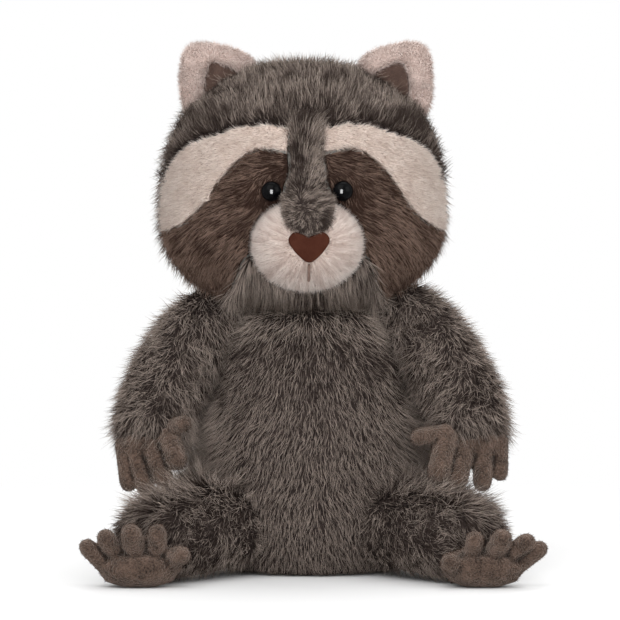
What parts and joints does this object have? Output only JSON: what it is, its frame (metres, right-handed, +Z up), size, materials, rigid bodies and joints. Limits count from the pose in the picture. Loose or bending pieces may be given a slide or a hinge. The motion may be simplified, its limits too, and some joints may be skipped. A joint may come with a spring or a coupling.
{
  "type": "plush raccoon",
  "caption": "Sitting plush raccoon with a wide masked head, cream brows and snout, grey pile, sewn brown hands and feet, and a ringed tail.",
  "frame": {"origin": "middle of the flat seat, on the surface that the toy sits on", "axes": "+Z up, the toy faces -Y, and its left side is +X"},
  "size_m": [0.2319, 0.2308, 0.2641],
  "materials": {
    "grey_pile": "long grey pile, brushed down",
    "dark_pile": "long dark pile",
    "cream_pile": "short soft cream pile",
    "brown_pile": "brown pile",
    "suede": "short brushed brown pile",
    "nose_suede": "red-brown suede cloth",
    "lining_suede": "dark suede cloth",
    "thread": "spun thread",
    "eye_black": "polished black",
    "washer_plastic": "natural white",
    "filling": "loose white fibre",
    "pouch_cloth": "plain woven cloth"
  },
  "bodies": {
    "root": {"crown": "grey_pile", "head_back": "grey_pile", "chin": "grey_pile", "snout_stripe": "grey_pile", "body_front": "grey_pile", "body_back_left": "grey_pile", "body_back_right": "grey_pile", "seat_panel": "grey_pile", "arm_left": "grey_pile", "arm_right": "grey_pile", "leg_left": "grey_pile", "leg_right": "grey_pile", "tail_ring_1": "grey_pile", "tail_ring_3": "grey_pile", "tail_ring_5": "grey_pile", "tail_ring_2": "dark_pile", "tail_ring_4": "dark_pile", "tail_ring_6": "dark_pile", "brow_left": "cream_pile", "brow_right": "cream_pile", "muzzle": "cream_pile", "ear_left": "cream_pile", "ear_right": "cream_pile", "cheek_left": "brown_pile", "cheek_right": "brown_pile", "hand_left": "suede", "hand_right": "suede", "foot_left": "suede", "foot_right": "suede", "nose": "nose_suede", "ear_lining_left": "lining_suede", "ear_lining_right": "lining_suede", "mouth_stitch": "thread", "eye_left": "eye_black", "eye_right": "eye_black", "eye_washer_left": "washer_plastic", "eye_washer_right": "washer_plastic", "head_filling": "filling", "body_filling": "filling", "bean_pouch": "pouch_cloth"}
  },
  "joints": []
}
